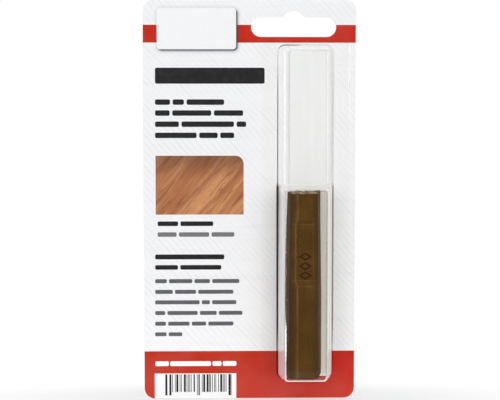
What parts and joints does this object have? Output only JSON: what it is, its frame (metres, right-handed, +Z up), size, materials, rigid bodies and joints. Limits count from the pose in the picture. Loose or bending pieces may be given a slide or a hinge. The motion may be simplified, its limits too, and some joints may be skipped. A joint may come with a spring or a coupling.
{
  "type": "furniture repair wax stick",
  "caption": "Hanging retail pack: a printed card with a hang slot and a clear stepped blister that holds a faceted brown repair wax stick and a flat spatula loose behind it.",
  "frame": {"origin": "centre of the arc over the hang slot, in the card's back face, where the hook carries the pack", "axes": "+Z up along the card's height, +X to the right seen from the front, -Y out of the card's printed front"},
  "size_m": [0.08, 0.0151, 0.151],
  "materials": {
    "card": "white coated board with two printed red bands",
    "clear_sheet": "clear formed sheet, glossy",
    "wax": "brown cast wax, dull sheen",
    "spatula_plastic": "milky white moulded plastic",
    "print": "ink printed on the card's front"
  },
  "bodies": {
    "pack": {"backing_card": "card", "blister": "clear_sheet"},
    "stick": {"wax_stick": "wax"},
    "spatula": {"spatula": "spatula_plastic"}
  },
  "joints": [
    {"name": "stick_slide", "type": "slide", "parent": "pack", "child": "stick", "axis": [1, 0, 0], "range_m": [-0.0014, 0.0028]},
    {"name": "spatula_slide", "type": "slide", "parent": "pack", "child": "spatula", "axis": [1, 0, 0], "range_m": [-0.0038, 0.0002]}
  ]
}
